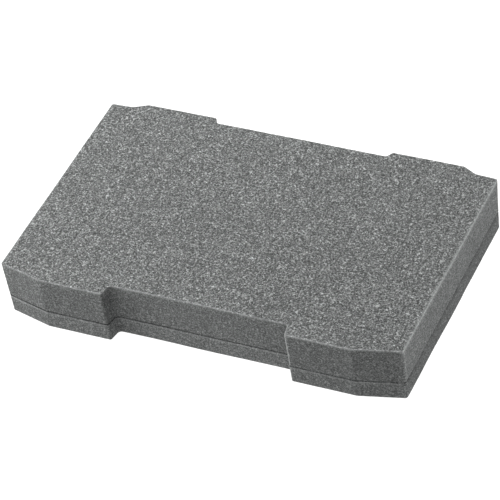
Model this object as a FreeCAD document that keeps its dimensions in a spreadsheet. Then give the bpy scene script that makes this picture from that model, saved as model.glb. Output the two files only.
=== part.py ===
import FreeCAD, Part
import math
import os
from FreeCAD import Vector

# Two-layer foam insert for a hard tool case.
#
# Frame: millimetres, +Z up, +X along the long side.  The origin is at the
# centre of the outline on the underside.  The front edge, with the deep
# recess and the two plain chamfered corners, is at -Y; the back edge, with
# the shallow recess and the stepped corners, is at +Y.
#
# The lower layer (base_pad) is a plain pad.  The upper layer is die cut right
# through its thickness on a square grid: the uncut border (upper_border)
# holds a field of loose square cubes, which lift out to make a pocket.
# The cubes are built by columns, one node a column, each cube its own solid.

doc = FreeCAD.newDocument("FoamInsert")

# ---------------------------------------------------------------- dimensions
sheet = doc.addObject("Spreadsheet::Sheet", "Sheet")
sheet.Label = "Dimensions"
DIMENSIONS = [
    # outline, at the top face
    ("overall_length", 364.0),
    ("overall_depth", 236.8),
    ("front_chamfer_half", 141.0),   # where the front chamfer leaves the front edge
    ("front_chamfer_drop", 10.0),    # how far back the chamfer reaches at the side
    ("front_recess_mouth", 83.3),    # half width at the front edge
    ("front_recess_floor", 80.9),    # half width at the recess's own wall
    ("front_recess_drop", 12.0),
    ("front_recess_radius", 4.5),
    ("back_recess_mouth", 83.9),
    ("back_recess_floor", 80.2),
    ("back_recess_drop", 6.2),
    ("back_step_inner", 149.5),      # end of the back tab
    ("back_step_outer", 161.9),      # foot of the ramp beside it
    ("back_step_drop", 6.5),
    ("back_corner_drop", 7.7),
    # heights
    ("base_height", 18.0),
    ("upper_height", 36.0),
    # draft: how far the wall leans in from the top face to the underside
    ("side_draft", 1.9),
    ("front_draft", 2.3),
    # the cube grid
    ("cube_pitch", 15.0),
    ("cut_gap", 0.2),
    ("cube_columns", 22.0),
    ("cube_rows", 13.0),
    ("field_left", -165.0),
    ("field_front", -92.6),
]
for number, (alias, value) in enumerate(DIMENSIONS, 1):
    sheet.set("A%d" % number, alias.replace("_", " "))
    sheet.set("B%d" % number, repr(value))
    sheet.setAlias("B%d" % number, alias)
doc.recompute()


def cell(alias):
    """The number in the sheet's cell of that name."""
    return float(getattr(sheet, alias))


def origin_plane(body, role):
    return [f for f in body.Origin.OriginFeatures if f.Role == role][0]


def lean(alias, level):
    """How far a wall has leaned in at a height, as an expression."""
    total = "(Sheet.base_height + Sheet.upper_height)"
    return "Sheet.%s * (%s - (%s)) / %s" % (alias, total, level, total)


# ------------------------------------------------------------------- outline
def outline_points(level):
    """The outline's corners at a height, each as an x and a y expression.

    Every wall leans parallel to itself, so that each stays plane: the front
    walls lean in along Y, the side walls along X, and a chamfer keeps its
    direction, so its side end slides along it.
    """
    fy = lean("front_draft", level)
    sx = lean("side_draft", level)
    half_x = "Sheet.overall_length / 2 - %s" % sx
    front = "-Sheet.overall_depth / 2 + %s" % fy
    back = "Sheet.overall_depth / 2"
    front_slope = "Sheet.front_chamfer_drop / (Sheet.overall_length / 2 - Sheet.front_chamfer_half)"
    corner_front = "%s + Sheet.front_chamfer_drop - %s * (%s)" % (front, sx, front_slope)
    back_slope = "(Sheet.back_corner_drop - Sheet.back_step_drop) / (Sheet.overall_length / 2 - Sheet.back_step_outer)"
    corner_back = "%s - Sheet.back_corner_drop + %s * (%s)" % (back, sx, back_slope)
    half = [
        ("Sheet.front_recess_floor", front + " + Sheet.front_recess_drop"),
        ("Sheet.front_recess_mouth", front),
        ("Sheet.front_chamfer_half", front),
        (half_x, corner_front),
        (half_x, corner_back),
        ("Sheet.back_step_outer", back + " - Sheet.back_step_drop"),
        ("Sheet.back_step_inner", back),
        ("Sheet.back_recess_mouth", back),
        ("Sheet.back_recess_floor", back + " - Sheet.back_recess_drop"),
    ]
    left = [("-(%s)" % x, y) for x, y in reversed(half)]
    return half + left


def value_of(expression):
    """The number an expression gives with the sheet's present values."""
    names = {alias: cell(alias) for alias, _ in DIMENSIONS}
    text = expression.replace("Sheet.", "")
    return Evaluator(text, names).result()


class Evaluator:
    """Works out + - * / and brackets over named numbers."""

    def __init__(self, text, names):
        self.names = names
        self.tokens = []
        word = ""
        for ch in text + " ":
            if ch.isalnum() or ch in "._":
                word += ch
                continue
            if word:
                self.tokens.append(word)
                word = ""
            if ch in "+-*/()":
                self.tokens.append(ch)
        self.at = 0

    def peek(self):
        return self.tokens[self.at] if self.at < len(self.tokens) else None

    def take(self):
        token = self.tokens[self.at]
        self.at += 1
        return token

    def result(self):
        value = self.term()
        while self.peek() in ("+", "-"):
            if self.take() == "+":
                value += self.term()
            else:
                value -= self.term()
        return value

    def term(self):
        value = self.factor()
        while self.peek() in ("*", "/"):
            if self.take() == "*":
                value *= self.factor()
            else:
                value /= self.factor()
        return value

    def factor(self):
        token = self.take()
        if token == "-":
            return -self.factor()
        if token == "(":
            value = self.result()
            self.take()
            return value
        return self.names[token] if token in self.names else float(token)


def bind_point(sketch, geometry, place, label, x, y):
    """Ties one end of a line to a pair of expressions measured from the origin."""
    import Sketcher

    for axis, expression in (("X", x), ("Y", y)):
        number = sketch.addConstraint(
            Sketcher.Constraint("Distance" + axis, -1, 1, geometry, place, value_of(expression))
        )
        name = "%s_%s" % (label, axis.lower())
        sketch.renameConstraint(number, name)
        sketch.setExpression("Constraints." + name, expression)


ROUNDED = (0, 17)  # the corners at the front recess's own wall


def outline_sketch(body, name, level):
    """A closed sketch of the outline at a height above the underside.

    The two inner corners of the front recess are rounded: each keeps its
    sharp corner as a construction point that both of its lines run through,
    with a tangent arc between them.
    """
    import Sketcher

    sketch = body.newObject("Sketcher::SketchObject", name)
    sketch.AttachmentSupport = [(origin_plane(body, "XY_Plane"), "")]
    sketch.MapMode = "FlatFace"
    sketch.setExpression("AttachmentOffset.Base.z", "%s - (%s)" % (level, body_level[body.Name]))
    points = outline_points(level)
    spots = [Vector(value_of(x), value_of(y), 0) for x, y in points]
    count = len(points)
    radius = cell("front_recess_radius")

    # tangent points and centre of each rounded corner
    rounds = {}
    for i in ROUNDED:
        corner = spots[i]
        to_last = (spots[i - 1] - corner).normalize()
        to_next = (spots[(i + 1) % count] - corner).normalize()
        half = to_last.getAngle(to_next) / 2
        reach = radius / math.tan(half)
        middle = (to_last + to_next).normalize()
        rounds[i] = (
            corner + to_last * reach,
            corner + to_next * reach,
            corner + middle * (radius / math.sin(half)),
        )
    for i in range(count):
        j = (i + 1) % count
        first = rounds[i][1] if i in rounds else spots[i]
        last = rounds[j][0] if j in rounds else spots[j]
        sketch.addGeometry(Part.LineSegment(first, last), False)
    for i in range(count):
        if i not in rounds:
            sketch.addConstraint(Sketcher.Constraint("Coincident", (i - 1) % count, 2, i, 1))
            bind_point(sketch, i, 1, "corner%02d" % i, *points[i])
            continue
        before, after = (i - 1) % count, i
        begin, end, centre = rounds[i]
        middle = centre + (spots[i] - centre).normalize() * radius
        circle = Part.Arc(begin, middle, end)
        arc = sketch.addGeometry(circle, False)
        # a sketch keeps every arc anticlockwise, so its ends may be swapped
        start = sketch.getPoint(arc, 1)
        first, second = (1, 2) if start.distanceToPoint(begin) < 0.01 else (2, 1)
        corner = sketch.addGeometry(Part.Point(spots[i]), True)
        bind_point(sketch, corner, 1, "corner%02d" % i, *points[i])
        sketch.addConstraint(Sketcher.Constraint("PointOnObject", corner, 1, before))
        sketch.addConstraint(Sketcher.Constraint("PointOnObject", corner, 1, after))
        sketch.addConstraint(Sketcher.Constraint("Tangent", before, 2, arc, first))
        sketch.addConstraint(Sketcher.Constraint("Tangent", after, 1, arc, second))
        number = sketch.addConstraint(Sketcher.Constraint("Radius", arc, radius))
        sketch.renameConstraint(number, "rounding%02d" % i)
        sketch.setExpression("Constraints.rounding%02d" % i, "Sheet.front_recess_radius")
    return sketch


body_level = {}


def new_body(name, level):
    """A body of that name whose own floor is at a height above the underside."""
    body = doc.addObject("PartDesign::Body", name)
    body.Label = name
    body_level[body.Name] = level
    body.setExpression("Placement.Base.z", level)
    return body


def layer(name, low, high):
    """A layer of the insert between two heights, with the outline's lean."""
    body = new_body(name, low)
    lower = outline_sketch(body, name + "_outline_low", low)
    upper = outline_sketch(body, name + "_outline_high", high)
    loft = body.newObject("PartDesign::AdditiveLoft", name + "_block")
    loft.Profile = lower
    loft.Sections = [upper]
    loft.Ruled = True
    loft.Closed = False
    doc.recompute()
    return body


base_pad = layer("base_pad", "0", "Sheet.base_height")
upper_border = layer("upper_border", "Sheet.base_height", "Sheet.base_height + Sheet.upper_height")


# --------------------------------------------------------- field in the border
def rectangle(sketch, left, front, right, back):
    """A rectangle whose four sides are bound to expressions."""
    import Sketcher

    corners = [(left, front), (right, front), (right, back), (left, back)]
    numbers = [Vector(value_of(x), value_of(y), 0) for x, y in corners]
    for i in range(4):
        sketch.addGeometry(Part.LineSegment(numbers[i], numbers[(i + 1) % 4]), False)
    for i in range(4):
        sketch.addConstraint(Sketcher.Constraint("Coincident", i, 2, (i + 1) % 4, 1))
    sketch.addConstraint(Sketcher.Constraint("Horizontal", 0))
    sketch.addConstraint(Sketcher.Constraint("Vertical", 1))
    sketch.addConstraint(Sketcher.Constraint("Horizontal", 2))
    sketch.addConstraint(Sketcher.Constraint("Vertical", 3))
    bind_point(sketch, 0, 1, "low_corner", left, front)
    bind_point(sketch, 2, 1, "high_corner", right, back)


solid_volume = upper_border.Shape.Volume
field = upper_border.newObject("Sketcher::SketchObject", "field_outline")
field.AttachmentSupport = [(origin_plane(upper_border, "XY_Plane"), "")]
field.MapMode = "FlatFace"
field.setExpression("AttachmentOffset.Base.z", "Sheet.upper_height")
rectangle(
    field,
    "Sheet.field_left",
    "Sheet.field_front",
    "Sheet.field_left + Sheet.cube_pitch * Sheet.cube_columns",
    "Sheet.field_front + Sheet.cube_pitch * Sheet.cube_rows",
)
opening = upper_border.newObject("PartDesign::Pocket", "field_cut")
opening.Profile = field
opening.Type = "ThroughAll"
doc.recompute()
cut_volume = solid_volume - upper_border.Shape.Volume
wanted = (
    cell("cube_pitch") ** 2 * cell("cube_columns") * cell("cube_rows") * cell("upper_height")
)
if abs(cut_volume - wanted) > 1:
    raise RuntimeError("the field cut removes %.0f instead of %.0f" % (cut_volume, wanted))


# --------------------------------------------------------------------- cubes
# Each column is one pad of a single cube repeated along Y.  Neighbouring
# cubes, and the cubes and the border, are one cut width apart.
columns = []
for number in range(int(cell("cube_columns"))):
    name = "cube_column_%02d" % (number + 1)
    body = new_body(name, "Sheet.base_height")
    body.AllowCompound = True
    body.setExpression(
        "Placement.Base.x", "Sheet.field_left + Sheet.cube_pitch * %d" % number
    )
    body.setExpression("Placement.Base.y", "Sheet.field_front")
    sketch = body.newObject("Sketcher::SketchObject", name + "_section")
    sketch.AttachmentSupport = [(origin_plane(body, "XY_Plane"), "")]
    sketch.MapMode = "FlatFace"
    rectangle(
        sketch,
        "Sheet.cut_gap / 2",
        "Sheet.cut_gap / 2",
        "Sheet.cube_pitch - Sheet.cut_gap / 2",
        "Sheet.cube_pitch - Sheet.cut_gap / 2",
    )
    pad = body.newObject("PartDesign::Pad", name + "_cube")
    pad.Profile = sketch
    pad.setExpression("Length", "Sheet.upper_height")
    doc.recompute()
    pattern = body.newObject("PartDesign::LinearPattern", name + "_row")
    pattern.Originals = [pad]
    pattern.Direction = (sketch, ["V_Axis"])
    pattern.Mode = "Extent"
    pattern.setExpression("Length", "Sheet.cube_pitch * (Sheet.cube_rows - 1)")
    pattern.setExpression("Occurrences", "Sheet.cube_rows")
    body.Tip = pattern
    columns.append(body)
doc.recompute()

# -------------------------------------------------------------------- checks
for item in doc.Objects:
    bad = [word for word in item.State if word in ("Invalid", "Error")]
    if bad:
        raise RuntimeError("%s is %s" % (item.Label, ", ".join(bad)))

pieces = [base_pad, upper_border] + columns
for body in pieces:
    shape = body.Shape
    if shape.isNull() or not shape.isValid():
        raise RuntimeError("%s has no valid shape" % body.Label)
    wanted = int(cell("cube_rows")) if body in columns else 1
    if len(shape.Solids) != wanted:
        raise RuntimeError("%s has %d solids" % (body.Label, len(shape.Solids)))

cube_volume = (cell("cube_pitch") - cell("cut_gap")) ** 2 * cell("upper_height")
for body in columns:
    if abs(body.Shape.Volume - cube_volume * cell("cube_rows")) > 1:
        raise RuntimeError("%s has the wrong volume" % body.Label)

# -------------------------------------------------------------------- export
os.makedirs("parts", exist_ok=True)
for body in pieces:
    body.Shape.exportStep(os.path.join("parts", body.Label + ".step"))

box = FreeCAD.BoundBox()
for body in pieces:
    box.add(body.Shape.BoundBox)
total = sum(body.Shape.Volume for body in pieces)
print("pieces %d, solids %d" % (len(pieces), sum(len(b.Shape.Solids) for b in pieces)))
print("box %.2f x %.2f x %.2f mm, from z %.2f" % (box.XLength, box.YLength, box.ZLength, box.ZMin))
print("volume %.1f cm3" % (total / 1000.0))
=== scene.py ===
import math

import bpy
import numpy as np
from mathutils import Matrix, Vector
from mathutils.geometry import delaunay_2d_cdt


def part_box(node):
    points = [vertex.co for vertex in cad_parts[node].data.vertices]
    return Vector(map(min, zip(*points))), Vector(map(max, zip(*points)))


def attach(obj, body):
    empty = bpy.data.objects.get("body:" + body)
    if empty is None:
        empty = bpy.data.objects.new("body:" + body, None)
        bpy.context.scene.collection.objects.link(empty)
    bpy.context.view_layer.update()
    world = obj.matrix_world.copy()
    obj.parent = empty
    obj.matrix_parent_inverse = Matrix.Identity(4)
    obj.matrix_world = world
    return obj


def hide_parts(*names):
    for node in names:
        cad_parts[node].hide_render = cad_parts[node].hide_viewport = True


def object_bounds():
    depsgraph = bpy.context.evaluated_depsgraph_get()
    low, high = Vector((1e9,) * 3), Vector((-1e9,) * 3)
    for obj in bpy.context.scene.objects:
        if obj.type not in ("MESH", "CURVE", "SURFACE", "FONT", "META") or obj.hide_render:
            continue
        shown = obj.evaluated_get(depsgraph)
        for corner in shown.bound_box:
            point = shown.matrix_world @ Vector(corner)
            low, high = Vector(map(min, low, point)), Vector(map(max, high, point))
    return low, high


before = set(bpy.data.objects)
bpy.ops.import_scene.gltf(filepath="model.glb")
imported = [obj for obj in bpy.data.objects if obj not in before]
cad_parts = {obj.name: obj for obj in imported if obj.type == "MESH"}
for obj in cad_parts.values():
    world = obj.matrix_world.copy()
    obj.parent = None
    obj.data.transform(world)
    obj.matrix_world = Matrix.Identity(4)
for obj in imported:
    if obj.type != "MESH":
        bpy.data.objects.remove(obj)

# Everything below is worked out in millimetres and scaled to metres when a
# mesh is made.  The frame is the CAD model's own.
CAD_LOW, CAD_HIGH = [list(c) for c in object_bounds()]
MM = 0.001
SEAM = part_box("base_pad")[1].z / MM          # the face between the two layers
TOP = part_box("upper_border")[1].z / MM
HALF = CAD_HIGH[0] / MM
BACK = CAD_HIGH[1] / MM
FRONT = CAD_LOW[1] / MM
SIDE_LEAN, FRONT_LEAN = 1.9, 2.3             # from the top face to the underside
COLUMNS, ROWS, PITCH = 22, 13, 15.0
FIELD_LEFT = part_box("cube_column_01")[0].x / MM - 0.1
FIELD_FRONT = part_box("cube_column_01")[0].y / MM - 0.1
STEP = 0.95                                  # mesh size on the walls
PROUD = 0.34                                 # loose struts stand this far off the cut
SLIT = 0.03                                  # a die cut closes up again

# =========================================================== smooth noise
def hashed(i, j, k, seed):
    """A repeatable number from 0 to 1 for each whole-number point."""
    n = (
        i.astype(np.int64) * 73856093
        ^ j.astype(np.int64) * 19349663
        ^ k.astype(np.int64) * 83492791
        ^ (seed * 2654435761)
    ) & 0xFFFFFFFF
    n = ((n ^ (n >> 15)) * 2246822519) & 0xFFFFFFFF
    n = ((n ^ (n >> 13)) * 3266489917) & 0xFFFFFFFF
    n = n ^ (n >> 16)
    return n.astype(np.float64) / 4294967295.0


def noise(p, size, seed):
    """Value noise from -1 to 1 with features of about that size, at points (n, 3)."""
    q = np.asarray(p, float) / size + 1000.0
    base = np.floor(q)
    f = q - base
    f = f * f * f * (f * (f * 6 - 15) + 10)
    i, j, k = (base[:, a].astype(np.int64) for a in range(3))
    total = np.zeros(len(q))
    for a in (0, 1):
        wx = f[:, 0] if a else 1 - f[:, 0]
        for b in (0, 1):
            wy = f[:, 1] if b else 1 - f[:, 1]
            for c in (0, 1):
                wz = f[:, 2] if c else 1 - f[:, 2]
                total += wx * wy * wz * hashed(i + a, j + b, k + c, seed)
    return total * 2 - 1


def flat(x, y, z=0.0):
    return np.stack([x, y, np.full(len(x), float(z))], 1)


def top_relief(x, y):
    """How far the cut top face stands up or down, in millimetres.  One
    function for the border and every cube, so that their faces meet."""
    p = flat(x, y)
    broad = 0.10 * noise(p, 34.0, 1) + 0.05 * noise(p, 13.0, 2)
    cells = 0.085 * noise(p, 2.3, 3) + 0.05 * noise(p, 1.25, 4)
    return broad + cells + 0.12


def slow_wave(p):
    """The slow waviness of the cut, shared by both layers so that they line up."""
    return 0.20 * noise(p * [1, 1, 0.5], 46.0, 60) + 0.09 * noise(p * [1, 1, 0.6], 15.0, 61) + PROUD


def wall_relief(p, seed):
    """How far a cut wall stands in or out.  The blade leaves fine upright
    streaks on top of the slow waviness."""
    streak = 0.04 * noise(p * [1, 1, 0.16], 2.1, seed + 2)
    cells = 0.05 * noise(p, 2.0, seed + 3) + 0.035 * noise(p, 1.15, seed + 4)
    return slow_wave(p) + streak + cells


# ================================================================= outline
def corners(side_lean, front_lean):
    """The outline's corners as (x, y, rounding), anticlockwise from the front
    recess's right inner corner.  Walls lean parallel to themselves."""
    front = FRONT + front_lean
    x = HALF - side_lean
    front_slope = 10.0 / (HALF - 141.0)
    back_slope = 1.2 / (HALF - 161.9)
    half = [
        (80.9, front + 12.0, 4.5),
        (83.3, front, 1.0),
        (141.0, front, 1.6),
        (x, front + 10.0 - side_lean * front_slope, 1.5),
        (x, BACK - 7.7 + side_lean * back_slope, 1.2),
        (161.9, BACK - 6.5, 11.0),
        (149.5, BACK, 5.0),
        (83.9, BACK, 1.4),
        (80.2, BACK - 6.2, 2.6),
    ]
    left = [(-a, b, r) for a, b, r in reversed(half)]
    # the right tab's corners at the front recess are tighter than the left's
    half[0] = half[0][:2] + (2.2,)
    half[1] = (half[1][0] - 0.3, half[1][1], 1.7)
    return half + left


def outline(side_lean, front_lean, step, counts=None):
    """Points and outward normals round the outline, the same number for any
    lean.  Returns points, normals, how sharp a corner each is on, counts."""
    spots = corners(side_lean, front_lean)
    n = len(spots)
    rounds = []
    for i in range(n):
        c = np.array(spots[i][:2])
        a = np.array(spots[i - 1][:2]) - c
        b = np.array(spots[(i + 1) % n][:2]) - c
        a, b = a / np.linalg.norm(a), b / np.linalg.norm(b)
        half = math.acos(np.clip(a @ b, -1, 1)) / 2
        radius = spots[i][2]
        reach = radius / math.tan(half)
        mid = (a + b) / np.linalg.norm(a + b)
        centre = c + mid * radius / math.sin(half)
        convex = (a[0] * b[1] - a[1] * b[0]) < 0
        rounds.append((c + a * reach, c + b * reach, centre, radius, convex))
    points, normals, sharp, used = [], [], [], []
    for i in range(n):
        begin, end, centre, radius, convex = rounds[i]
        u, v = begin - centre, end - centre
        turn = math.atan2(u[0] * v[1] - u[1] * v[0], u @ v)
        pieces = max(3, int(math.ceil(abs(turn) * radius / (step * 0.6)))) if counts is None else counts[2 * i]
        for s in range(pieces + 1):
            t = turn * s / pieces
            w = np.array([u[0] * math.cos(t) - u[1] * math.sin(t), u[0] * math.sin(t) + u[1] * math.cos(t)])
            points.append(centre + w)
            normals.append(w / radius if convex else -w / radius)
            sharp.append(min(1.0, abs(turn) / 1.2) * (1.0 if convex else 0.0))
        first, last = end, rounds[(i + 1) % n][0]
        run = last - first
        length = np.linalg.norm(run)
        steps = max(1, int(round(length / step))) if counts is None else counts[2 * i + 1]
        out = np.array([run[1], -run[0]]) / length
        for s in range(1, steps):
            points.append(first + run * s / steps)
            normals.append(out)
            sharp.append(0.0)
        used += [pieces, steps]
    return np.array(points), np.array(normals), np.array(sharp), used


RIM_TOP, RIM_OUT, RIM_SHARP, COUNTS = outline(0.0, 0.0, STEP)
RIM_LOW = outline(SIDE_LEAN, FRONT_LEAN, STEP, COUNTS)[0]
RING = len(RIM_TOP)


X, OUT_X, OUT_Y = RIM_TOP[:, 0], RIM_OUT[:, 0], RIM_OUT[:, 1]
TABS_LEFT = (OUT_Y < -0.9) & (X < -83)
RECESS = (OUT_Y < -0.9) & (abs(X) < 81)
TABS_RIGHT = (OUT_Y < -0.9) & (X > 83)
CHAMFER_LEFT = (OUT_Y < -0.5) & (X < -130) & (OUT_X < -0.15)
CHAMFER_RIGHT = (OUT_Y < -0.5) & (X > 130) & (OUT_X > 0.15)
RECESS_LEFT = (OUT_X > 0.6) & (X < 0)
RIGHT_SIDE = (OUT_X > 0.75) & (X > 150)
LEFT_SIDE = (OUT_X < -0.75) & (X < -150)
BACK_SIDE = OUT_Y > 0.3
FAR_CORNER = (X > 174) & (RIM_TOP[:, 1] < FRONT + 20)        # the soft corner of the right tab


def along_ring(stretches, other, wide):
    """One value for each point of the outline, softened over that many steps."""
    value = np.full(RING, float(other))
    for where, amount in stretches:
        value[where] = amount
    window = np.hanning(2 * wide + 3)[1:-1]
    padded = np.concatenate([value[-wide:], value, value[:wide]])
    return np.convolve(padded, window / window.sum(), "valid")


# painted light: that corner is painted paler than the walls beside it
CORNER_PAINTED_LIGHT = along_ring(
    [
        (CHAMFER_RIGHT & (X > 177), 1.08),
        (RIGHT_SIDE & (RIM_TOP[:, 1] < FRONT + 19), 1.06),
        ((OUT_X > 0.4) & (X > 178) & (RIM_TOP[:, 1] < FRONT + 12.4), 1.50),
    ],
    1.0, 1,
)


def paint_wall_shading(left_tab, recess, right_tab, left_chamfer, right_chamfer, recess_left, right_side):
    """Painted light and shade: how much paler or darker each stretch of cut
    wall is painted, one value per stretch; the walls differ a little.  How pale
    each stretch of cut wall is: the walls differ a little.  Why they do isn't
    known."""
    return along_ring(
        [
            (TABS_LEFT, left_tab), (RECESS, recess), (TABS_RIGHT, right_tab),
            (CHAMFER_LEFT, left_chamfer), (CHAMFER_RIGHT, right_chamfer),
            (RECESS_LEFT, recess_left), (RIGHT_SIDE, right_side),
        ],
        1.0, 5,
    ) * CORNER_PAINTED_LIGHT


# how much pale fringe stands along each stretch of cut edge: partly torn struts, partly a painted highlight
FRINGE_AND_HIGHLIGHT = along_ring(
    [
        (TABS_LEFT, 0.95), (CHAMFER_LEFT, 0.70), (RECESS, 1.0), (TABS_RIGHT, 1.35), (CHAMFER_RIGHT, 1.45),
        (RECESS_LEFT, 0.2), (LEFT_SIDE, 0.45), (BACK_SIDE, 0.12), (RIGHT_SIDE, 0.88),
    ],
    1.0, 3,
)
# how much of it stands on the rounding and the wall below the edge
FRINGE_HIGHLIGHT_FOLD = along_ring([(RIGHT_SIDE, 0.4)], -0.45, 3)
# how far that fringe and painted highlight reach down the wall, in millimetres
FRINGE_HIGHLIGHT_REACH = along_ring([(RIGHT_SIDE, 1.6)], 0.4, 4)
# painted shade: how dark the groove between the layers is painted, and how pale the painted highlight below it
GROOVE_PAINTED_SHADE = along_ring(
    [
        (TABS_LEFT, 0.70), (CHAMFER_LEFT, 0.92), (RECESS, 0.62), (TABS_RIGHT, 0.38), (CHAMFER_RIGHT, 0.36),
        (RIGHT_SIDE, 0.16), (FAR_CORNER, 0.16),
    ],
    0.66, 4,
)
BELOW_GROOVE_HIGHLIGHT = along_ring([(CHAMFER_LEFT, 2.1), (RECESS_LEFT, 0.3), (BACK_SIDE, 0.6), (FAR_CORNER, 0.2)], 1.0, 4)
# how much of a broad painted shaded band the lower layer has below the groove instead
LOW_BAND_PAINTED_SHADE = along_ring([(RIGHT_SIDE, 1.0)], 0.0, 3)
# how broken up the groove's painted shade is
GROOVE_SHADE_BREAKUP = along_ring([(TABS_RIGHT, 0.55), (CHAMFER_RIGHT, 0.55), (RIGHT_SIDE, 0.7), (FAR_CORNER, 0.7)], 0.0, 4)
# painted light: the lower layer's corner of the right tab is painted paler still
BASE_CORNER_PAINTED_LIGHT = along_ring([((OUT_X > 0.4) & (X > 178) & (RIM_TOP[:, 1] < FRONT + 12.4), 1.10)], 1.0, 2)
# how much less than its nominal lean the foam takes up at the underside
LEAN_LESS = along_ring([(RIGHT_SIDE, 0.8), (TABS_LEFT, 0.4), (RECESS, 0.35), (TABS_RIGHT, 0.4)], 0.2, 4)


def level_ring(z, inset):
    """The outline at a height, moved inward."""
    k = (TOP - z) / TOP
    return RIM_TOP * (1 - k) + RIM_LOW * k - RIM_OUT * inset


# ============================================================ mesh building
class Build:
    """Collects points and faces in millimetres, with what the material reads: the
    pale edge fringe and painted highlight, side (1 on a wall, 0 on a flat face), and painted light and shade."""

    def __init__(self):
        self.co, self.rim, self.side, self.painted_light_and_shade = [], [], [], []
        self.quads, self.tris = [], []
        self.count = 0

    def add(self, co, rim, side, painted_light_and_shade=1.0):
        co = np.asarray(co, float)
        n = len(co)
        self.co.append(co)
        self.rim.append(np.broadcast_to(np.asarray(rim, float), (n,)).copy())
        self.side.append(np.broadcast_to(np.asarray(side, float), (n,)).copy())
        self.painted_light_and_shade.append(np.broadcast_to(np.asarray(painted_light_and_shade, float), (n,)).copy())
        first = self.count
        self.count += n
        return np.arange(first, first + n)

    def bridge(self, upper, lower):
        """Quads between two closed rings, upper outside when seen from out."""
        a, b = upper, lower
        a2, b2 = np.roll(a, -1), np.roll(b, -1)
        self.quads.append(np.stack([b, b2, a2, a], 1))

    def make(self, name, smooth=True):
        co = np.concatenate(self.co) * MM
        quads = np.concatenate(self.quads) if self.quads else np.zeros((0, 4), int)
        tris = np.concatenate(self.tris) if self.tris else np.zeros((0, 3), int)
        mesh = bpy.data.meshes.new(name)
        mesh.vertices.add(len(co))
        mesh.vertices.foreach_set("co", co.astype(np.float32).ravel())
        loops = np.concatenate([quads.ravel(), tris.ravel()]).astype(np.int32)
        mesh.loops.add(len(loops))
        mesh.loops.foreach_set("vertex_index", loops)
        starts = np.concatenate(
            [np.arange(len(quads)) * 4, len(quads) * 4 + np.arange(len(tris)) * 3]
        ).astype(np.int32)
        mesh.polygons.add(len(starts))
        mesh.polygons.foreach_set("loop_start", starts)
        mesh.polygons.foreach_set("use_smooth", np.full(len(starts), smooth))
        mesh.update(calc_edges=True)
        if mesh.validate():
            print("mesh", name, "needed mending")
        for attribute, values in (("rim", self.rim), ("side", self.side), ("painted_light_and_shade", self.painted_light_and_shade)):
            layer = mesh.attributes.new(attribute, "FLOAT", "POINT")
            layer.data.foreach_set("value", np.concatenate(values).astype(np.float32))
        ob = bpy.data.objects.new(name, mesh)
        bpy.context.scene.collection.objects.link(ob)
        return ob


def inside(points, loop):
    """Which points lie inside a closed loop."""
    x, y = points[:, 0], points[:, 1]
    result = np.zeros(len(points), bool)
    a = loop
    b = np.roll(loop, -1, 0)
    for (x0, y0), (x1, y1) in zip(a, b):
        if y0 == y1:
            continue
        cross = (y0 > y) != (y1 > y)
        result ^= cross & (x < (x1 - x0) * (y - y0) / (y1 - y0) + x0)
    return result


def far_from(points, loop, gap):
    """Which points are at least gap from every point of a densely walked loop."""
    from mathutils.kdtree import KDTree

    tree = KDTree(len(loop))
    for i, (x, y) in enumerate(loop):
        tree.insert((x, y, 0), i)
    tree.balance()
    return np.array([tree.find((x, y, 0))[2] >= gap for x, y in points])


def fill(loops, size, keep_out=()):
    """Triangles that fill the area inside the first loop and outside the
    others, with inner points of about that spacing.  Returns the points, the
    loops' own first, and the triangles, anticlockwise."""
    outer = loops[0]
    low, high = outer.min(0), outer.max(0)
    xs = np.arange(low[0] + size / 2, high[0], size)
    ys = np.arange(low[1] + size / 2, high[1], size * 0.8660254)
    gx, gy = np.meshgrid(xs, ys)
    gx = gx + (np.arange(len(ys)) % 2)[:, None] * size / 2
    grid = np.stack([gx.ravel(), gy.ravel()], 1)
    p = flat(grid[:, 0], grid[:, 1])
    grid = grid + 0.22 * size * np.stack([noise(p, size * 0.7, 91), noise(p, size * 0.7, 92)], 1)
    keep = inside(grid, outer)
    for hole in loops[1:]:
        keep &= ~inside(grid, hole)
    grid = grid[keep]
    walked = np.concatenate(loops)
    grid = grid[far_from(grid, walked, size * 0.55)]
    points = np.concatenate(list(loops) + [grid])
    edges, first = [], 0
    for loop in loops:
        n = len(loop)
        edges += [(first + i, first + (i + 1) % n) for i in range(n)]
        first += n
    verts, _, faces, origin, _, _ = delaunay_2d_cdt(
        [Vector(map(float, q)) for q in points], edges, [], 0, 1e-7, True
    )
    back = np.array([o[0] if o else -1 for o in origin])
    tri = back[np.array(faces)]
    tri = tri[(tri >= 0).all(1)]
    centre = points[tri].mean(1)
    keep = inside(centre, outer)
    for hole in loops[1:]:
        keep &= ~inside(centre, hole)
    tri = tri[keep]
    a, b, c = (points[tri[:, i]] for i in range(3))
    turn = (b[:, 0] - a[:, 0]) * (c[:, 1] - a[:, 1]) - (b[:, 1] - a[:, 1]) * (c[:, 0] - a[:, 0])
    tri[turn < 0] = tri[turn < 0][:, ::-1]
    return points, tri


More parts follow.
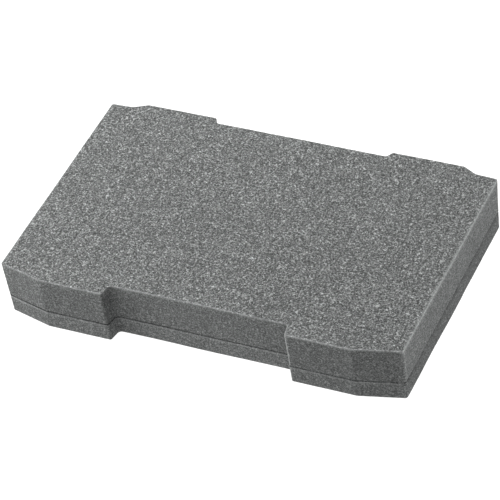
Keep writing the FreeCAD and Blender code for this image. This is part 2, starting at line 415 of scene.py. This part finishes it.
def skin(build, high, low, high_round, low_round, seed, row_step, wall_painted_shading, relief_high, upper):
    """The outer wall of a layer with soft cut edges.  Returns the innermost
    ring on the upper face and on the lower face, as vertex numbers."""
    rows = []                                # inset, height, share of the wall's relief
    for inset in (1.9, 1.35, 0.9):
        rows.append((inset + (0 if upper else 0.35), high, 0.0))
    for s in range(0, 5):
        t = math.pi / 2 * s / 4
        rows.append((high_round * (1 - math.sin(t)), high - high_round * (1 - math.cos(t)), math.sin(t)))
    wall_low, wall_high = low + low_round, high - high_round
    count = max(3, int(round((wall_high - wall_low) / row_step)))
    for s in range(1, count):
        rows.append((0.0, wall_high + (wall_low - wall_high) * s / count, 1.0))
    for s in range(4, -1, -1):
        t = math.pi / 2 * s / 4
        rows.append((low_round * (1 - math.sin(t)), low + low_round * (1 - math.cos(t)), math.sin(t)))
    for inset in (1.3, 1.9):
        rows.append((inset, low, 0.0))
    rings = []
    for number, (inset, z, out) in enumerate(rows):
        ring = level_ring(z, inset)
        p = np.column_stack([ring, np.full(RING, z)])
        # the slow part of the wall's waviness carries on over the edges
        move = wall_relief(p, seed) * out + slow_wave(p) * (1 - out) + LEAN_LESS * (TOP - z) / TOP
        x = ring[:, 0] + RIM_OUT[:, 0] * move
        y = ring[:, 1] + RIM_OUT[:, 1] * move
        zz = np.full(RING, z)
        down = high - z
        on_top = number < 3 + 5
        if on_top:
            zz += relief_high(ring[:, 0], ring[:, 1]) * (1 - out * 0.55)
        elif number >= len(rows) - 7 and low > 1:
            zz += 0.05 + 0.05 * noise(flat(ring[:, 0], ring[:, 1]), 2.0, seed + 8)
        # painted light and shade for each stretch of wall
        painted_light_and_shade = 1 + (wall_painted_shading - 1) * min(1.0, out * 1.2)
        if upper:
            # the pale fringe and painted highlight round the top face, and painted shade where the layers meet
            near = math.exp(-((max(0.0, inset - 0.35) / 0.85) ** 2)) if on_top else 1.0
            rim = FRINGE_AND_HIGHLIGHT * near * (1 + FRINGE_HIGHLIGHT_FOLD * out) * np.exp(-np.maximum(0.0, down - 0.5) / FRINGE_HIGHLIGHT_REACH)
            gap = z - low
            shade = math.exp(-((gap / 0.65) ** 2)) if gap < 4 else 0.0
        else:
            # the lower layer's top edge: painted shade inside the seam, a painted
            #             # highlight just below it, or a broad painted shaded band
            bright = math.exp(-(((down - 1.55) / 0.95) ** 2)) if out > 0.3 else 0.0
            rim = SEAM_PAINTED_HIGHLIGHT * BELOW_GROOVE_HIGHLIGHT * bright * (1 - LOW_BAND_PAINTED_SHADE)
            rim = rim + BOTTOM_FRINGE * math.exp(-z / 0.9)
            # painted shade only as far in as the eye reaches while the layers are closed
            reach_in = 1.0 if inset < 0.7 else 0.0
            shade = reach_in * math.exp(-((down / 0.75) ** 2)) if down < 4 else 0.0
            ragged = 1 + 0.7 * noise(p * [1, 1, 0.5], 5.0, 78) + 0.5 * noise(p, 2.3, 79)
            painted_light_and_shade = painted_light_and_shade * (1 - LOW_BAND_PAINTED_SHADE * 0.21 * ragged * math.exp(-(((down - 2.0) / 2.0) ** 2)))
        patchy = 0.86 + 0.14 * noise(p * [1, 1, 0], 21.0, 77)
        patchy = patchy * (1 + GROOVE_SHADE_BREAKUP * (0.7 * noise(p * [1, 1, 0.6], 4.5, 80) + 0.6 * noise(p, 2.0, 81)))
        # painted shade in the groove between the layers
        painted_light_and_shade = painted_light_and_shade * (1 - GROOVE_PAINTED_SHADE * shade * patchy)
        side = 1.0 if (out > 0.55 or not on_top) else 0.25 * out
        # painted highlight on the recess's upright edge
        if out > 0.9:
            rim = np.maximum(rim, RECESS_EDGE_PAINTED_HIGHLIGHT * (1.0 if upper else 0.6))
        rings.append(build.add(np.column_stack([x, y, zz]), rim, side, painted_light_and_shade))
    for a, b in zip(rings, rings[1:]):
        build.bridge(a, b)
    return rings[0], rings[-1]


# the first is a painted highlight just below the groove between the layers; the second a paler strip along the
# bottom edge
SEAM_PAINTED_HIGHLIGHT, BOTTOM_FRINGE = 0.42, 0.12
# painted highlight on the one upright edge that catches the light, at the front recess's right end
RECESS_EDGE_PAINTED_HIGHLIGHT = along_ring([((abs(X - 83.1) < 1.0) & (RIM_TOP[:, 1] < FRONT + 1.3), 0.80)], 0.0, 1)


def loop_places(build, ring):
    return np.concatenate(build.co)[ring][:, :2]


# ---------------------------------------------------------------- base pad
def base_relief(x, y):
    p = flat(x, y)
    return 0.06 * noise(p, 28.0, 31) + 0.05 * noise(p, 2.6, 32) - 0.13


def base_pad():
    b = Build()
    # painted light and shade for each stretch of the lower layer's wall
    wall_painted_shading = paint_wall_shading(1.09, 1.14, 0.98, 0.98, 1.0, 1.05, 0.80) * BASE_CORNER_PAINTED_LIGHT
    top_ring, low_ring = skin(b, SEAM, 0.0, 0.9, 0.45, 40, STEP, wall_painted_shading, base_relief, False)
    places = loop_places(b, top_ring)
    points, tri = fill([places], 2.4)
    extra = points[RING:]
    z = SEAM + base_relief(extra[:, 0], extra[:, 1])
    ids = np.concatenate([top_ring, b.add(np.column_stack([extra, z]), 0.0, 0.0)])
    b.tris.append(ids[tri])
    places = loop_places(b, low_ring)
    points, tri = fill([places], 2.8)
    extra = points[RING:]
    p = flat(extra[:, 0], extra[:, 1])
    z = 0.03 + 0.03 * (noise(p, 2.8, 33) + 1)
    ids = np.concatenate([low_ring, b.add(np.column_stack([extra, z]), 0.0, 0.0)])
    b.tris.append(ids[tri][:, ::-1])
    return b.make("base_foam")


# ------------------------------------------------------------ upper border
CELLS = 15                                   # mesh cells along a cube's side


def field_loop(x0, y0, x1, y1, nx, ny):
    """A rectangle walked anticlockwise with one point per mesh cell."""
    xs, ys = np.linspace(x0, x1, nx + 1), np.linspace(y0, y1, ny + 1)
    return np.array(
        [(x, y0) for x in xs[:-1]]
        + [(x1, y) for y in ys[:-1]]
        + [(x, y1) for x in xs[:0:-1]]
        + [(x0, y) for y in ys[:0:-1]]
    )


DEPTHS = [0.0, 0.5, 1.6, 5.0, 11.0, 18.0, 25.0, 31.0, 35.2]


def slit_inset(depth):
    """How far a cut face draws back below the surface."""
    return 0.09 * min(1.0, depth / 1.4)


def upper_border():
    b = Build()
    # painted light and shade for each stretch of the upper layer's wall
    wall_painted_shading = paint_wall_shading(0.95, 1.02, 0.92, 0.97, 0.88, 0.97, 1.05)
    top_ring, low_ring = skin(b, TOP, SEAM, 0.55, 0.9, 60, STEP, wall_painted_shading, top_relief, True)
    width, depth = COLUMNS * PITCH, ROWS * PITCH
    loop = field_loop(
        FIELD_LEFT, FIELD_FRONT, FIELD_LEFT + width, FIELD_FRONT + depth, COLUMNS * CELLS, ROWS * CELLS
    )
    centre = np.array([FIELD_LEFT + width / 2, FIELD_FRONT + depth / 2])
    outward = np.zeros_like(loop)
    outward[np.isclose(loop[:, 0], FIELD_LEFT), 0] = -1
    outward[np.isclose(loop[:, 0], FIELD_LEFT + width), 0] = 1
    outward[np.isclose(loop[:, 1], FIELD_FRONT), 1] = -1
    outward[np.isclose(loop[:, 1], FIELD_FRONT + depth), 1] = 1
    rings = []
    for d in DEPTHS + [TOP - SEAM - 0.05]:
        move = SLIT / 2 + slit_inset(d)
        if d > 0:
            p = np.column_stack([loop, np.full(len(loop), TOP - d)])
            move = move + 0.06 * min(1.0, d / 1.6) * (1 + noise(p, 2.2, 71))
        place = loop + outward * np.asarray(move).reshape(-1, 1)
        z = TOP - d + (top_relief(loop[:, 0], loop[:, 1]) if d == 0 else 0.0)
        rings.append(b.add(np.column_stack([place, np.broadcast_to(z, (len(loop),))]), 0.0, 1.0 if d > 0.4 else 0.0))
    for a, c in zip(rings, rings[1:]):
        b.bridge(c, a)
    hole = loop_places(b, rings[0])
    points, tri = fill([loop_places(b, top_ring), hole], 1.05)
    extra = points[RING + len(loop):]
    z = TOP + top_relief(extra[:, 0], extra[:, 1])
    ids = np.concatenate([top_ring, rings[0], b.add(np.column_stack([extra, z]), 0.0, 0.0)])
    b.tris.append(ids[tri])
    hole = loop_places(b, rings[-1])
    points, tri = fill([loop_places(b, low_ring), hole], 2.4)
    extra = points[RING + len(loop):]
    p = flat(extra[:, 0], extra[:, 1])
    z = SEAM + 0.05 + 0.04 * (1 + noise(p, 2.6, 72))
    ids = np.concatenate([low_ring, rings[-1], b.add(np.column_stack([extra, z]), 0.0, 0.0)])
    b.tris.append(ids[tri][:, ::-1])
    return b.make("upper_border_foam")


# ------------------------------------------------------------------- cubes
def cube_template():
    """Vertex numbers of one cube: the top grid, rings down the sides, and the
    bottom grid, with its faces."""
    n = CELLS
    side = n + 1
    top = np.arange(side * side).reshape(side, side)          # [row y, column x]
    ring = np.concatenate([top[0, :-1], top[:-1, -1], top[-1, :0:-1], top[:0:-1, 0]])
    m = len(ring)
    levels = len(DEPTHS)                                       # rings below the top edge
    first = side * side
    rings = [ring] + [first + m * i + np.arange(m) for i in range(levels - 1)]
    first += m * (levels - 1)
    bottom = first + np.arange(side * side).reshape(side, side)
    low_ring = np.concatenate([bottom[0, :-1], bottom[:-1, -1], bottom[-1, :0:-1], bottom[:0:-1, 0]])
    rings.append(low_ring)
    total = first + side * side
    quads = [np.stack([top[:-1, :-1], top[:-1, 1:], top[1:, 1:], top[1:, :-1]], -1).reshape(-1, 4)]
    for a, c in zip(rings, rings[1:]):
        quads.append(np.stack([c, np.roll(c, -1), np.roll(a, -1), a], 1))
    quads.append(np.stack([bottom[:-1, :-1], bottom[1:, :-1], bottom[1:, 1:], bottom[:-1, 1:]], -1).reshape(-1, 4))
    return ring, m, total, np.concatenate(quads)


CUBE_RING, CUBE_M, CUBE_TOTAL, CUBE_QUADS = cube_template()


def cube_column(number):
    b = Build()
    n = CELLS
    x0 = FIELD_LEFT + PITCH * number
    for row in range(ROWS):
        y0 = FIELD_FRONT + PITCH * row
        xs = np.linspace(x0, x0 + PITCH, n + 1)
        ys = np.linspace(y0, y0 + PITCH, n + 1)
        gx, gy = np.meshgrid(xs, ys)
        grid = np.stack([gx.ravel(), gy.ravel()], 1)
        inward = np.zeros_like(grid)
        inward[np.isclose(grid[:, 0], x0), 0] = 1
        inward[np.isclose(grid[:, 0], x0 + PITCH), 0] = -1
        inward[np.isclose(grid[:, 1], y0), 1] = 1
        inward[np.isclose(grid[:, 1], y0 + PITCH), 1] = -1
        z = TOP + top_relief(grid[:, 0], grid[:, 1])
        parts = [np.column_stack([grid + inward * SLIT / 2, z])]
        sides = [np.zeros(len(grid))]
        ring, ring_in = grid[CUBE_RING], inward[CUBE_RING]
        for d in DEPTHS[1:]:
            p = np.column_stack([ring, np.full(len(ring), TOP - d)])
            seed = 100 + (number * ROWS + row) * 2
            move = SLIT / 2 + slit_inset(d) + 0.06 * min(1.0, d / 1.6) * (1 + noise(p, 2.2, seed))
            parts.append(np.column_stack([ring + ring_in * move.reshape(-1, 1), np.full(len(ring), TOP - d)]))
            sides.append(np.ones(len(ring)))
        move = SLIT / 2 + slit_inset(36.0) + 0.06
        p = flat(grid[:, 0], grid[:, 1])
        low = SEAM + 0.05 + 0.04 * (1 + noise(p, 2.6, 73))
        parts.append(np.column_stack([grid + inward * move, low]))
        sides.append(np.full(len(grid), 0.5))
        ids = b.add(np.concatenate(parts), 0.0, np.concatenate(sides))
        b.quads.append(ids[CUBE_QUADS])
    return b.make("cubes_%02d" % (number + 1))


# =============================================================== materials
def foam_material(name, tint, shift):
    """Cut open-cell polyurethane foam: pale struts round dark pores, coarser
    on the skived top face and finer on the blade-cut walls, with a paler
    fringe along each edge, partly torn struts and partly painted highlight, and the mesh's painted light and shade."""
    mat = bpy.data.materials.new(name)
    mat.use_nodes = True
    nt = mat.node_tree
    nodes, links = nt.nodes, nt.links
    nodes.clear()

    def new(kind, **values):
        node = nodes.new(kind)
        for key, value in values.items():
            setattr(node, key, value)
        return node

    def math_node(operation, a, b=None, clamp=False):
        node = new("ShaderNodeMath", operation=operation, use_clamp=clamp)
        for socket, value in ((0, a), (1, b)):
            if value is None:
                continue
            if isinstance(value, (int, float)):
                node.inputs[socket].default_value = value
            else:
                links.new(value, node.inputs[socket])
        return node.outputs[0]

    coords = new("ShaderNodeTexCoord")
    move = new("ShaderNodeVectorMath", operation="ADD")
    links.new(coords.outputs["Object"], move.inputs[0])
    move.inputs[1].default_value = shift
    place = move.outputs[0]

    def voronoi(size_mm, feature="F1", squeeze=None):
        node = new("ShaderNodeTexVoronoi", feature=feature, voronoi_dimensions="3D")
        node.inputs["Scale"].default_value = 1000.0 / size_mm
        source = place
        if squeeze:
            squash = new("ShaderNodeVectorMath", operation="MULTIPLY")
            links.new(place, squash.inputs[0])
            squash.inputs[1].default_value = squeeze
            source = squash.outputs[0]
        links.new(source, node.inputs["Vector"])
        return node

    def cloud(size_mm, detail=1.0, squeeze=None):
        node = new("ShaderNodeTexNoise", noise_dimensions="3D")
        node.inputs["Scale"].default_value = 1000.0 / size_mm
        node.inputs["Detail"].default_value = detail
        source = place
        if squeeze:
            squash = new("ShaderNodeVectorMath", operation="MULTIPLY")
            links.new(place, squash.inputs[0])
            squash.inputs[1].default_value = squeeze
            source = squash.outputs[0]
        links.new(source, node.inputs["Vector"])
        return node.outputs["Fac"]

    rim = new("ShaderNodeAttribute", attribute_name="rim").outputs["Fac"]
    side = new("ShaderNodeAttribute", attribute_name="side").outputs["Fac"]
    painted_light_and_shade = new("ShaderNodeAttribute", attribute_name="painted_light_and_shade").outputs["Fac"]

    # top face: short pale struts round dark pores, each pore its own shade
    cells = voronoi(TOP_CELL)
    grey = new("ShaderNodeSeparateColor")
    links.new(cells.outputs["Color"], grey.inputs[0])
    pores = voronoi(TOP_PORE)
    top = math_node("MULTIPLY", math_node("SUBTRACT", grey.outputs[0], 0.5), TOP_CELL_DEPTH)
    top = math_node("ADD", top, math_node("MULTIPLY", math_node("SUBTRACT", pores.outputs["Distance"], 0.5), TOP_PORE_DEPTH))

    # walls: finer grain with faint upright blade streaks
    grain = voronoi(WALL_CELL)
    wall_grey = new("ShaderNodeSeparateColor")
    links.new(grain.outputs["Color"], wall_grey.inputs[0])
    wall_pores = voronoi(WALL_PORE)
    streaks = cloud(1.5, 2.0, (1, 1, 0.22))
    wall = math_node("MULTIPLY", math_node("SUBTRACT", wall_grey.outputs[0], 0.5), WALL_CELL_DEPTH)
    wall = math_node("ADD", wall, math_node("MULTIPLY", math_node("SUBTRACT", wall_pores.outputs["Distance"], 0.5), WALL_PORE_DEPTH))
    wall = math_node("ADD", wall, math_node("MULTIPLY", math_node("SUBTRACT", streaks, 0.5), STREAKS))

    mixer = new("ShaderNodeMix", data_type="FLOAT")
    links.new(side, mixer.inputs[0])
    links.new(top, mixer.inputs[2])
    links.new(wall, mixer.inputs[3])
    speckle = mixer.outputs[0]

    # slow patches of shade
    patch = math_node("MULTIPLY", math_node("SUBTRACT", cloud(38.0, 2.0), 0.5), PATCHES)
    shade = math_node("EXPONENT", math_node("ADD", speckle, patch))
    tufts = math_node("ADD", math_node("MULTIPLY", cloud(1.7, 1.0), 1.3), 0.35)
    # the paler edge fringe: partly torn struts, partly a painted highlight
    fringe = math_node("MULTIPLY", math_node("MULTIPLY", rim, RIM_LIFT), tufts)
    shade = math_node("ADD", shade, fringe)
    level = math_node("ADD", TOP_LEVEL, math_node("MULTIPLY", side, WALL_LEVEL - TOP_LEVEL))
    # painted light and shade from the mesh multiply the colour
    shade = math_node("MULTIPLY", math_node("MULTIPLY", shade, painted_light_and_shade), level)

    tinted = new("ShaderNodeVectorMath", operation="SCALE")
    tinted.inputs[0].default_value = tint
    links.new(shade, tinted.inputs["Scale"])

    # relief: pores below, struts above
    top_height = math_node("ADD", pores.outputs["Distance"], math_node("MULTIPLY", cells.outputs["Distance"], 0.45))
    wall_height = math_node("ADD", math_node("MULTIPLY", wall_pores.outputs["Distance"], 0.5), math_node("MULTIPLY", streaks, 0.4))
    heights = new("ShaderNodeMix", data_type="FLOAT")
    links.new(side, heights.inputs[0])
    links.new(top_height, heights.inputs[2])
    links.new(wall_height, heights.inputs[3])
    bump = new("ShaderNodeBump")
    bump.inputs["Strength"].default_value = 0.55
    bump.inputs["Distance"].default_value = 0.0006
    links.new(heights.outputs[0], bump.inputs["Height"])

    rough = math_node("ADD", 0.90, math_node("MULTIPLY", speckle, 0.06), clamp=True)

    shader = new("ShaderNodeBsdfPrincipled")
    links.new(tinted.outputs[0], shader.inputs["Base Color"])
    links.new(rough, shader.inputs["Roughness"])
    links.new(bump.outputs[0], shader.inputs["Normal"])
    shader.inputs["Specular IOR Level"].default_value = 0.18
    output = new("ShaderNodeOutputMaterial")
    links.new(shader.outputs[0], output.inputs["Surface"])
    return mat


TOP_CELL, TOP_CELL_DEPTH = 0.72, 1.85
TOP_PORE, TOP_PORE_DEPTH = 1.75, 1.75
WALL_CELL, WALL_CELL_DEPTH = 0.72, 1.2
WALL_PORE, WALL_PORE_DEPTH, STREAKS = 1.6, 1.0, 0.55
# the second sets how pale the edge fringe and painted highlight come out
PATCHES, RIM_LIFT = 0.10, 1.25
TOP_LEVEL, WALL_LEVEL = 0.905, 1.15          # the walls' colour is set paler than the top's
GREY = (0.093, 0.096, 0.095)

foam_upper = foam_material("upper_foam", GREY, (0.0, 0.0, 0.0))
foam_base = foam_material("base_foam", tuple(c * 1.0 for c in GREY), (0.31, 0.17, 0.09))

# ================================================================= pieces
base = base_pad()
border = upper_border()
columns = [cube_column(i) for i in range(COLUMNS)]

for ob, body, node, mat, slot in (
    [(base, "base", "base_pad", foam_base, "base_foam"), (border, "upper_layer", "upper_border", foam_upper, "upper_foam")]
    + [
        (ob, "column_%02d" % (i + 1), "cube_column_%02d" % (i + 1), foam_upper, "cube_foam")
        for i, ob in enumerate(columns)
    ]
):
    ob.data.materials.append(mat)
    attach(ob, body)
    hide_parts(node)

# ================================================================== stage
def plane(name, size, z):
    mesh = bpy.data.meshes.new(name)
    s = size / 2
    mesh.from_pydata([(-s, -s, z), (s, -s, z), (s, s, z), (-s, s, z)], [], [(0, 1, 2, 3)])
    ob = bpy.data.objects.new(name, mesh)
    bpy.context.scene.collection.objects.link(ob)
    return ob


floor = plane("floor", 14.0, 0.0)
white = bpy.data.materials.new("white_floor")
white.use_nodes = True
shader = white.node_tree.nodes["Principled BSDF"]
shader.inputs["Base Color"].default_value = (0.15, 0.15, 0.15, 1)
shader.inputs["Roughness"].default_value = 1.0
shader.inputs["Specular IOR Level"].default_value = 0.0
shader.inputs["Emission Color"].default_value = (1, 1, 1, 1)
shader.inputs["Emission Strength"].default_value = 1.04
floor.data.materials.append(white)

scene = bpy.context.scene
world = bpy.data.worlds.new("studio")
world.use_nodes = True
world.node_tree.nodes["Background"].inputs["Color"].default_value = (1, 1, 1, 1)
world.node_tree.nodes["Background"].inputs["Strength"].default_value = 0.2
scene.world = world


def softbox(name, place, size, power, target=(0.0, 0.0, 0.02)):
    light = bpy.data.lights.new(name, "AREA")
    light.shape = "RECTANGLE"
    light.size, light.size_y = size
    light.energy = power
    ob = bpy.data.objects.new(name, light)
    scene.collection.objects.link(ob)
    ob.location = place
    ob.rotation_euler = (Vector(target) - Vector(place)).to_track_quat("-Z", "Y").to_euler()
    return ob


softbox("left_near", (-1.2, -0.15, 0.7), (0.9, 0.7), 27.4)
softbox("left_far", (-2.4, -0.3, 1.0), (1.6, 1.2), 18.0)
softbox("left_front", (-1.6, -2.0, 1.0), (1.6, 1.2), 18.5)
softbox("back_left", (-0.85, 0.75, 1.1), (0.8, 0.8), 8.6)
softbox("back_right", (0.9, 2.3, 1.2), (1.6, 1.2), 116.0)

# ================================================================= camera
def photo_camera():
    """The photograph's viewpoint, as focal length in 500ths of the frame and
    angles in degrees."""
    focal, pitch, yaw, roll = 3020.264, 41.5808, 29.2541, -8.4381
    tx, ty, distance = 0.0144, 0.0452, 7.104
    unit = 2 * HALF * MM
    a, e, r = (math.radians(v) for v in (yaw, pitch, roll))
    back = np.array([math.sin(a) * math.cos(e), -math.cos(a) * math.cos(e), math.sin(e)])
    right = np.array([math.cos(a), math.sin(a), 0.0])
    up = np.cross(back, right)
    turn = np.array([[math.cos(r), -math.sin(r), 0], [math.sin(r), math.cos(r), 0], [0, 0, 1]])
    rows = turn @ np.array([right, -up, -back])
    place = -rows.T @ np.array([tx, ty, distance]) * unit
    data = bpy.data.cameras.new("camera")
    data.sensor_width = 36.0
    data.sensor_fit = "HORIZONTAL"
    data.lens = focal / 500 * 36.0
    data.clip_start, data.clip_end = 0.1, 50.0
    ob = bpy.data.objects.new("camera", data)
    scene.collection.objects.link(ob)
    axes = Matrix((rows[0], -rows[1], -rows[2])).transposed().to_4x4()
    ob.matrix_world = Matrix.Translation(Vector(place)) @ axes
    return ob


scene.camera = photo_camera()
scene.view_settings.view_transform = "Standard"
scene.view_settings.look = "None"
scene.view_settings.exposure = 0.0
scene.view_settings.gamma = 1.0
